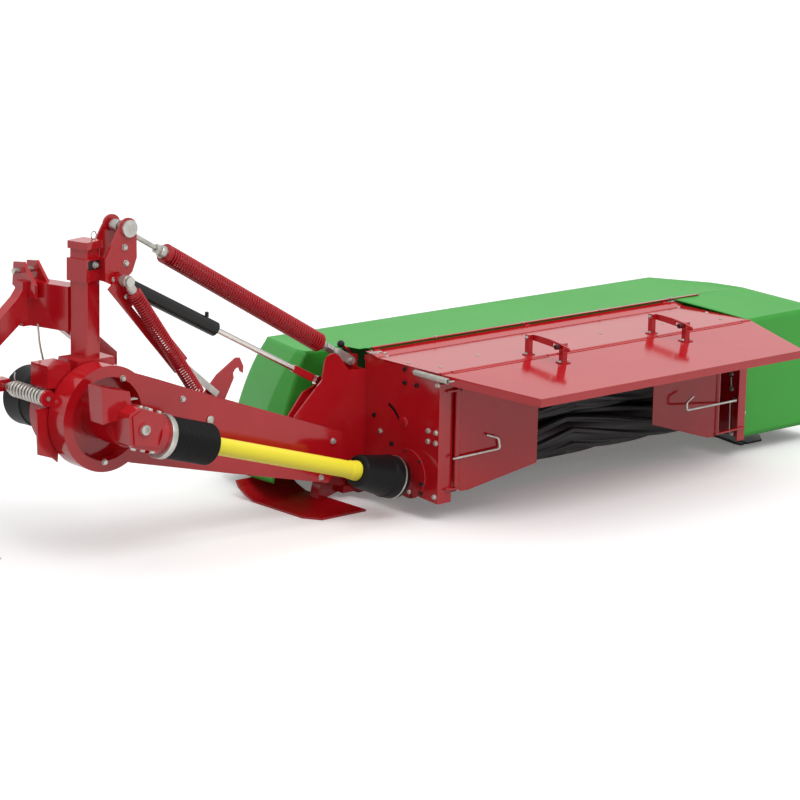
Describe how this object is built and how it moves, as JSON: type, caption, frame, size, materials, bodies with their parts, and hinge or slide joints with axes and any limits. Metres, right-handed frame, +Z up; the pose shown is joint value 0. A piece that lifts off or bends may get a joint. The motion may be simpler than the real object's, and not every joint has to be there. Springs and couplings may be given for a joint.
{
  "type": "disc mower",
  "caption": "Rear-mounted disc mower with rubber roller conditioner, side boom with lift cylinder and balance springs, canvas guard and folding parking stand.",
  "frame": {"origin": "midway between the two lower hitch pins, on their axis line's height, at the frame's front face", "axes": "+X along the bed away from the tractor, +Y forward, +Z up"},
  "size_m": [4.8245, 1.7365, 1.494],
  "materials": {
    "red_paint": "gloss",
    "black_paint": "satin",
    "bright_steel": "plated",
    "chrome_rod": "polished",
    "cast_grey": "painted casting",
    "yellow_guard": "moulded",
    "black_plastic": "moulded",
    "roller_rubber": "matt",
    "green_canvas": "coated canvas"
  },
  "bodies": {
    "hitch": {"hitch_frame": "red_paint", "lower_pin_left": "bright_steel", "lower_pin_right": "bright_steel", "top_link_pin": "bright_steel", "turret": "red_paint", "bell_guard": "black_plastic", "mast": "red_paint", "mast_bracket": "red_paint", "top_spring_pin": "bright_steel", "common_pin": "bright_steel", "breakaway_spring": "bright_steel", "paper_tube": "black_plastic"},
    "stand": {"parking_stand": "black_paint"},
    "pto": {"pto_shaft": "bright_steel"},
    "arm": {"boom": "red_paint", "boom_gearbox": "red_paint", "guard_inner": "black_plastic", "lock_hook": "red_paint"},
    "bed": {"side_plate_left": "red_paint", "side_plate_right": "red_paint", "upper_panel": "red_paint", "top_beam": "red_paint", "tower": "red_paint", "bed_input": "black_plastic", "cutterbar": "red_paint", "inner_shoe": "red_paint", "outer_shoe": "black_paint", "canvas_wing": "green_canvas", "guard_rod": "bright_steel", "flap_hinge_rod": "bright_steel", "adjuster_legs": "red_paint", "door_pin_left": "bright_steel", "door_pin_right": "bright_steel"},
    "arcs": {"flap_arcs": "red_paint"},
    "hood": {"canvas_hood": "green_canvas"},
    "flap": {"rear_flap": "red_paint", "flap_clamps": "red_paint"},
    "door_l": {"door_left": "red_paint"},
    "door_r": {"door_right": "red_paint"},
    "roller_u": {"roller_upper": "roller_rubber"},
    "roller_l": {"roller_lower": "roller_rubber"},
    "shaft_u": {"shaft_tube": "yellow_guard"},
    "shaft_l": {"shaft_inner_tube": "bright_steel", "guard_outer": "black_plastic"},
    "spring_u": {"long_spring": "red_paint", "spring_head": "bright_steel"},
    "spring_l": {"spring_rod": "bright_steel"},
    "barrel": {"cylinder_barrel": "black_paint"},
    "rod": {"cylinder_rod": "chrome_rod"},
    "spring_s": {"short_spring": "red_paint"},
    "link": {"stop_link": "red_paint", "stop_link_bar": "bright_steel"},
    "disc_1": {"disc_1": "cast_grey"},
    "disc_2": {"disc_2": "cast_grey"},
    "disc_3": {"disc_3": "cast_grey"},
    "disc_4": {"disc_4": "cast_grey"},
    "disc_5": {"disc_5": "cast_grey"},
    "disc_6": {"disc_6": "cast_grey"}
  },
  "joints": [
    {"name": "stand_slide", "type": "slide", "parent": "hitch", "child": "stand", "axis": [0, 0, 1], "range_m": [0, 0.35]},
    {"name": "pto_spin", "type": "hinge", "parent": "hitch", "child": "pto", "pos_m": [0.071, -0.1, 0.021], "axis": [0, 1, 0], "continuous": true},
    {"name": "arm_lift", "type": "hinge", "parent": "hitch", "child": "arm", "pos_m": [0.071, -0.394, 0.021], "axis": [0, -1, 0], "range_deg": [-3, 32]},
    {"name": "mower_fold", "type": "hinge", "parent": "arm", "child": "bed", "pos_m": [1.355, -0.348, -0.38], "axis": [0, -1, 0], "range_deg": [-3.6, 38.4]},
    {"name": "cylinder_swing", "type": "hinge", "parent": "hitch", "child": "barrel", "pos_m": [0.205, -0.344, 0.606], "axis": [0, -1, 0], "range_deg": [-4, 25]},
    {"name": "cylinder_stroke", "type": "slide", "parent": "barrel", "child": "rod", "axis": [0.8859, 0, -0.4639], "range_m": [-0.56, 0.06]},
    {"name": "long_spring_swing", "type": "hinge", "parent": "hitch", "child": "spring_u", "pos_m": [0.259, -0.311, 0.823], "axis": [0, -1, 0], "range_deg": [-4, 27]},
    {"name": "long_spring_stroke", "type": "slide", "parent": "spring_u", "child": "spring_l", "axis": [0.8677, 0, -0.497], "range_m": [-0.8, 0.09], "deforming": ["long_spring"]},
    {"name": "short_spring_swing", "type": "hinge", "parent": "hitch", "child": "spring_s", "pos_m": [0.205, -0.451, 0.606], "axis": [0, -1, 0], "range_deg": [-3, 15]},
    {"name": "stop_link_swing", "type": "hinge", "parent": "hitch", "child": "link", "pos_m": [0.205, -0.406, 0.606], "axis": [0, -1, 0], "range_deg": [-4, 20]},
    {"name": "drive_shaft_swing", "type": "hinge", "parent": "arm", "child": "shaft_u", "pos_m": [0.195, -0.694, -0.032], "axis": [0, -1, 0], "range_deg": [-2, 8]},
    {"name": "drive_shaft_stroke", "type": "slide", "parent": "shaft_u", "child": "shaft_l", "axis": [0.9596, 0, -0.2815], "range_m": [-0.05, 0.01]},
    {"name": "hood_lift", "type": "hinge", "parent": "bed", "child": "hood", "pos_m": [2.705, -0.358, 0.097], "axis": [1, 0, 0], "range_deg": [0, 55]},
    {"name": "flap_tilt", "type": "hinge", "parent": "bed", "child": "flap", "pos_m": [2.705, -0.894, 0.075], "axis": [-1, 0, 0], "range_deg": [-15, 20]},
    {"name": "adjuster_swing", "type": "hinge", "parent": "bed", "child": "arcs", "pos_m": [2.705, -0.828, 0.165], "axis": [-1, 0, 0], "range_deg": [-10, 13]},
    {"name": "door_left_swing", "type": "hinge", "parent": "bed", "child": "door_l", "pos_m": [1.757, -0.908, -0.245], "axis": [0, 0, -1], "range_deg": [-32, 32]},
    {"name": "door_right_swing", "type": "hinge", "parent": "bed", "child": "door_r", "pos_m": [3.527, -0.908, -0.245], "axis": [0, 0, 1], "range_deg": [-3, 61]},
    {"name": "roller_upper_spin", "type": "hinge", "parent": "bed", "child": "roller_u", "pos_m": [2.705, -0.654, -0.191], "axis": [1, 0, 0], "continuous": true},
    {"name": "roller_lower_spin", "type": "hinge", "parent": "bed", "child": "roller_l", "pos_m": [2.705, -0.626, -0.404], "axis": [1, 0, 0], "continuous": true},
    {"name": "disc_1_spin", "type": "hinge", "parent": "bed", "child": "disc_1", "pos_m": [1.845, -0.166, -0.539], "axis": [0, 0, 1], "continuous": true},
    {"name": "disc_2_spin", "type": "hinge", "parent": "bed", "child": "disc_2", "pos_m": [2.189, -0.166, -0.539], "axis": [0, 0, 1], "continuous": true},
    {"name": "disc_3_spin", "type": "hinge", "parent": "bed", "child": "disc_3", "pos_m": [2.533, -0.166, -0.539], "axis": [0, 0, 1], "continuous": true},
    {"name": "disc_4_spin", "type": "hinge", "parent": "bed", "child": "disc_4", "pos_m": [2.877, -0.166, -0.539], "axis": [0, 0, 1], "continuous": true},
    {"name": "disc_5_spin", "type": "hinge", "parent": "bed", "child": "disc_5", "pos_m": [3.221, -0.166, -0.539], "axis": [0, 0, 1], "continuous": true},
    {"name": "disc_6_spin", "type": "hinge", "parent": "bed", "child": "disc_6", "pos_m": [3.565, -0.166, -0.539], "axis": [0, 0, 1], "continuous": true}
  ],
  "couplings": [
    {"joint": "mower_fold", "follows": "arm_lift", "ratio": 1.2},
    {"joint": "cylinder_swing", "follows": "arm_lift", "ratio": 0.685},
    {"joint": "cylinder_stroke", "follows": "arm_lift", "m_per_rad": -0.91},
    {"joint": "long_spring_swing", "follows": "arm_lift", "ratio": 0.78},
    {"joint": "long_spring_stroke", "follows": "arm_lift", "m_per_rad": -1.36},
    {"joint": "short_spring_swing", "follows": "arm_lift", "ratio": 0.355},
    {"joint": "stop_link_swing", "follows": "arm_lift", "ratio": 0.5575},
    {"joint": "drive_shaft_swing", "follows": "arm_lift", "ratio": 0.162},
    {"joint": "drive_shaft_stroke", "follows": "arm_lift", "m_per_rad": -0.065},
    {"joint": "roller_lower_spin", "follows": "roller_upper_spin", "ratio": -1},
    {"joint": "adjuster_swing", "follows": "flap_tilt", "ratio": 0.62},
    {"joint": "disc_2_spin", "follows": "disc_1_spin", "ratio": -1},
    {"joint": "disc_3_spin", "follows": "disc_1_spin", "ratio": 1},
    {"joint": "disc_4_spin", "follows": "disc_1_spin", "ratio": -1},
    {"joint": "disc_5_spin", "follows": "disc_1_spin", "ratio": 1},
    {"joint": "disc_6_spin", "follows": "disc_1_spin", "ratio": -1}
  ]
}
